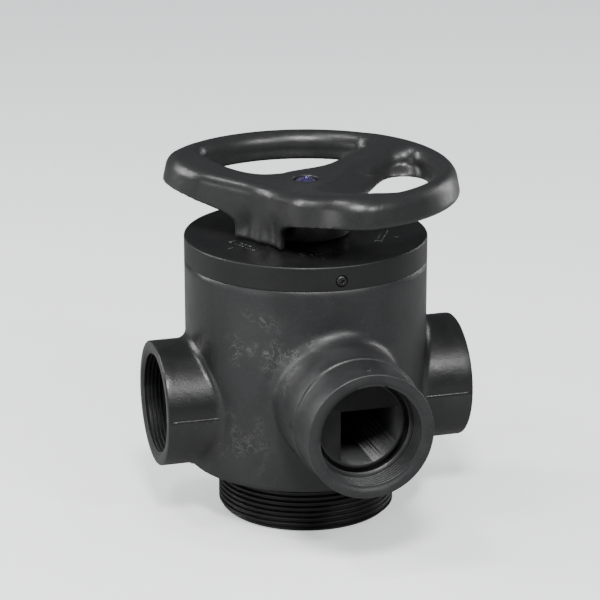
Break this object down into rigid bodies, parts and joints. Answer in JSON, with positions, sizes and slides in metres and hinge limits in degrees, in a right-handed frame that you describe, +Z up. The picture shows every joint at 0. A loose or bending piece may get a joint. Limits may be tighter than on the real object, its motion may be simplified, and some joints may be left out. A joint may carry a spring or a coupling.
{
  "type": "multiport valve",
  "caption": "Manual flat-disc multiport valve for a filter tank: cylindrical body with tank thread, side and drain ports, screwed cap and dished handwheel.",
  "frame": {"origin": "on the valve's vertical axis, at the bottom face of the tank thread", "axes": "+Z up along the stem, -Y out of the drain port, +X out of the right-hand pipe port"},
  "size_m": [0.18, 0.2114, 0.2038],
  "materials": {
    "body_plastic": "matte glass-filled plastic with faint cloudy flow marks and fine grain",
    "cap_plastic": "fine matte black plastic",
    "handle_plastic": "satin dark grey plastic with soft highlights",
    "violet_zinc": "violet iridescent zinc plating",
    "black_steel": "dark phosphated steel",
    "plain_steel": "plain stainless steel",
    "spring_steel": "darkened spring steel",
    "stem_plastic": "ivory reinforced engineering plastic",
    "driver_plastic": "pale reinforced engineering plastic",
    "washer_plastic": "smooth low-friction plastic",
    "brass": "turned brass with knurl",
    "ceramic_white": "ground white alumina ceramic, satin",
    "rubber": "soft black rubber",
    "clip_plastic": "matte black plastic"
  },
  "bodies": {
    "housing": {"valve_body": "body_plastic", "top_cap": "cap_plastic", "cap_o_ring": "rubber", "cap_lock_screw": "black_steel", "thrust_washer": "washer_plastic", "fixed_disc": "ceramic_white", "disc_gasket": "rubber", "base_o_ring": "rubber", "riser_o_ring": "rubber", "riser_seal_retainer": "clip_plastic"},
    "selector": {"handwheel": "handle_plastic", "handwheel_screw": "violet_zinc", "handwheel_washer": "plain_steel", "handwheel_spring_washer": "spring_steel", "stem": "stem_plastic", "stem_insert": "brass", "stem_o_rings": "rubber", "disc_driver": "driver_plastic", "moving_disc": "ceramic_white", "moving_disc_seal": "rubber"}
  },
  "joints": [
    {"name": "handle_turn", "type": "hinge", "parent": "housing", "child": "selector", "pos_m": [0, 0, 0.18], "axis": [0, 0, 1], "range_deg": [0, 120]}
  ]
}
